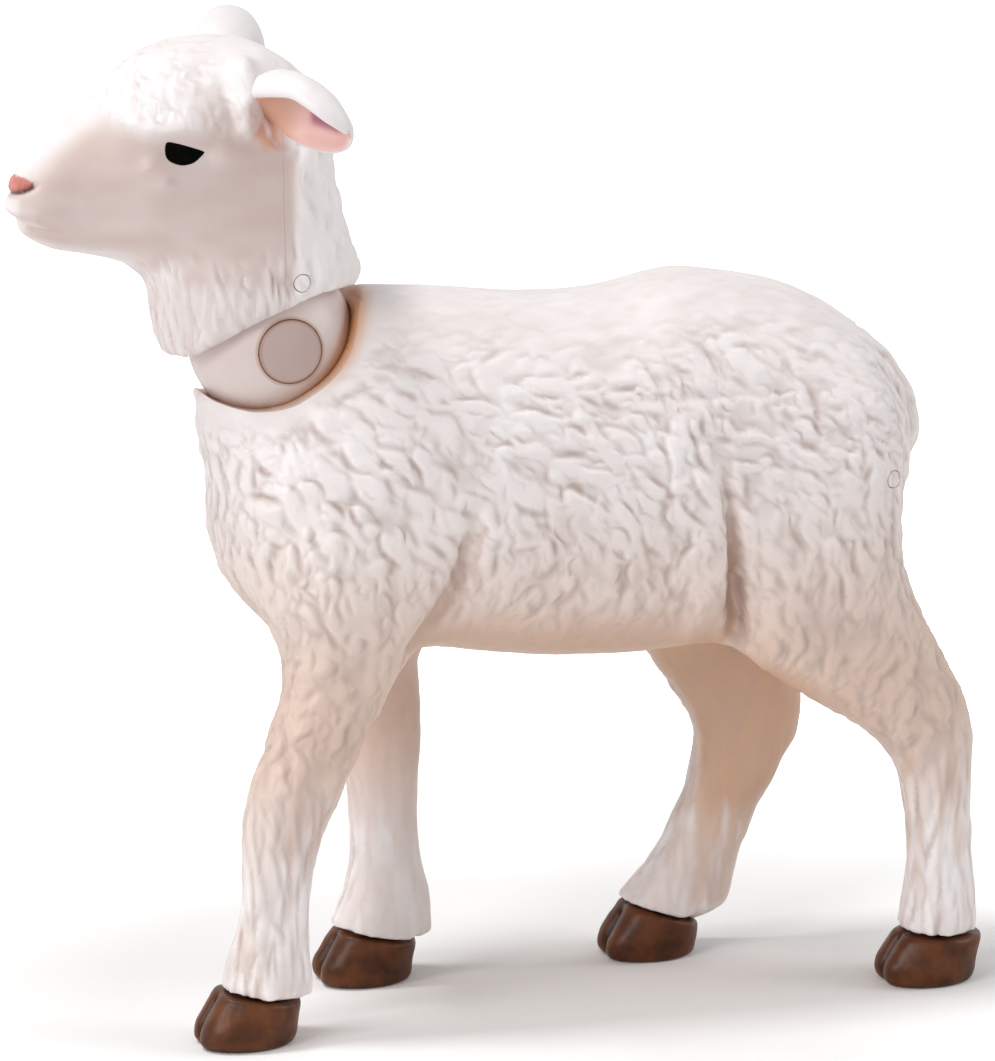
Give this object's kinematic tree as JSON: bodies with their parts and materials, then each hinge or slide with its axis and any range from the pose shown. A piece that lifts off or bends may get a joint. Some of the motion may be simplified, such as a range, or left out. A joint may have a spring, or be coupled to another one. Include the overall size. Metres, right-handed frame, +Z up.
{
  "type": "toy farm animal figure",
  "caption": "Standing toy lamb in moulded plastic with relief fleece, brown hooves, cupped ears, and a neck ball that lets the head nod on a cross pin and turn on its peg.",
  "frame": {"origin": "on the ground, under the middle of the figure's length and width", "axes": "+Z up, nose towards -X, the figure's left side towards -Y"},
  "size_m": [0.0657, 0.0225, 0.0669],
  "materials": {
    "fleece_pvc": "matt moulded PVC, warm white",
    "face_pvc": "matt moulded PVC, pinkish white",
    "ear_pvc": "matt moulded PVC, pink inside",
    "hoof_pvc": "satin brown paint on PVC",
    "eye_black": "flat black, slightly glossy",
    "neck_abs": "smooth satin ABS, lilac white",
    "pin_abs": "smooth satin ABS, greyish mauve"
  },
  "bodies": {
    "trunk": {"body_left": "fleece_pvc", "body_right": "fleece_pvc", "tail": "fleece_pvc", "hoof_fore_left": "hoof_pvc", "hoof_fore_right": "hoof_pvc", "hoof_hind_left": "hoof_pvc", "hoof_hind_right": "hoof_pvc", "rump_pin": "fleece_pvc", "neck_lug": "neck_abs"},
    "neck": {"neck_ball": "neck_abs", "neck_pin": "pin_abs"},
    "head": {"head_front": "face_pvc", "nape_cover": "fleece_pvc", "nape_pin": "fleece_pvc", "ear_left": "ear_pvc", "ear_right": "ear_pvc", "eye_left": "eye_black", "eye_right": "eye_black"}
  },
  "joints": [
    {"name": "neck_nod", "type": "hinge", "parent": "trunk", "child": "neck", "pos_m": [-0.01549, 0, 0.04598], "axis": [0, -1, 0], "range_deg": [-3, 21]},
    {"name": "head_turn", "type": "hinge", "parent": "neck", "child": "head", "pos_m": [-0.01549, 0, 0.04598], "axis": [-0.342, 0, 0.9397], "range_deg": [-50, 50]}
  ]
}
